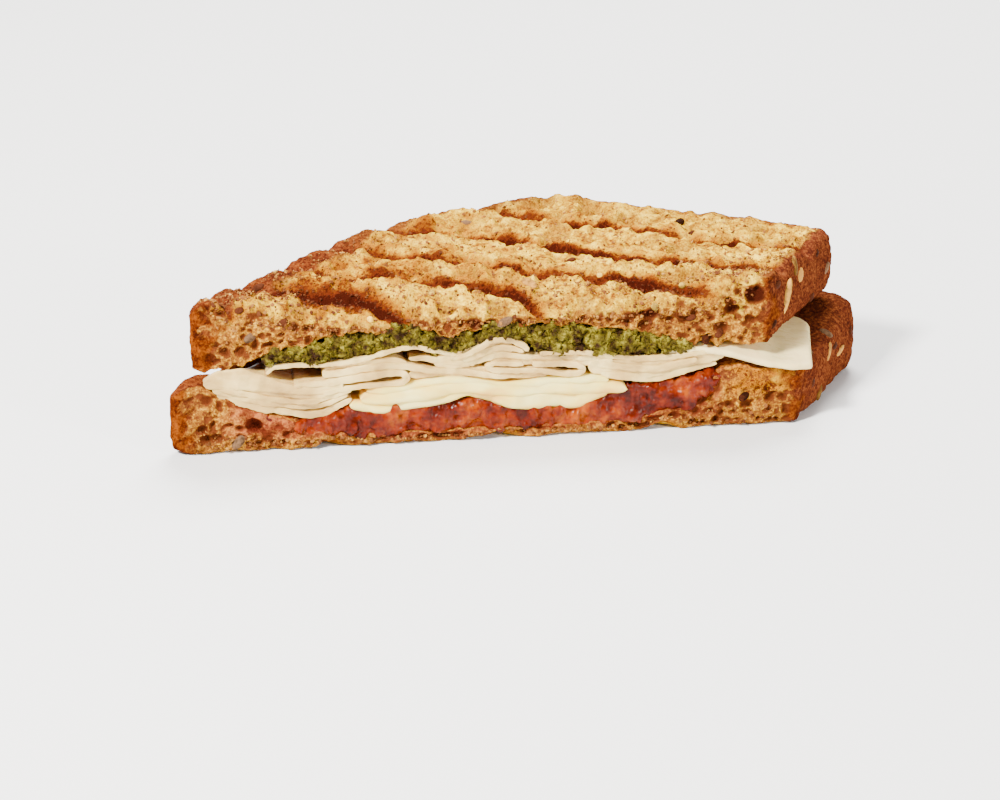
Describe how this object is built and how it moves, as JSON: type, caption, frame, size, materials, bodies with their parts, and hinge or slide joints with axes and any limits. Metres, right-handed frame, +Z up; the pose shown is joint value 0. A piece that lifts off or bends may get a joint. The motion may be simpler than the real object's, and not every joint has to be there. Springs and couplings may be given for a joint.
{
  "type": "grilled turkey and cheese sandwich half",
  "caption": "Half of a pressed multigrain sandwich, cut straight across: tomato relish, melted cheese, folded turkey and green pesto between grill-marked slices of bread.",
  "frame": {"origin": "middle of the bounding box at its underside, where the sandwich rests", "axes": "+X along the knife cut, to the right when the cut faces the viewer; +Y from the cut into the sandwich; +Z up through the slices"},
  "size_m": [0.177, 0.0846, 0.04],
  "materials": {
    "bread": "toasted, rough",
    "relish": "wet and glossy",
    "cheese": "melted, softly glossy",
    "turkey": "moist, satin",
    "pesto": "oily, lumpy"
  },
  "bodies": {
    "root": {"bread_bottom": "bread", "bread_top": "bread", "tomato_relish": "relish", "cheese_slice_1": "cheese", "cheese_slice_2": "cheese", "cheese_slice_3": "cheese", "turkey_slice_1": "turkey", "turkey_slice_2": "turkey", "turkey_slice_3": "turkey", "turkey_slice_4": "turkey", "turkey_slice_5": "turkey", "turkey_slice_6": "turkey", "turkey_slice_7": "turkey", "turkey_slice_8": "turkey", "pesto": "pesto"}
  },
  "joints": []
}
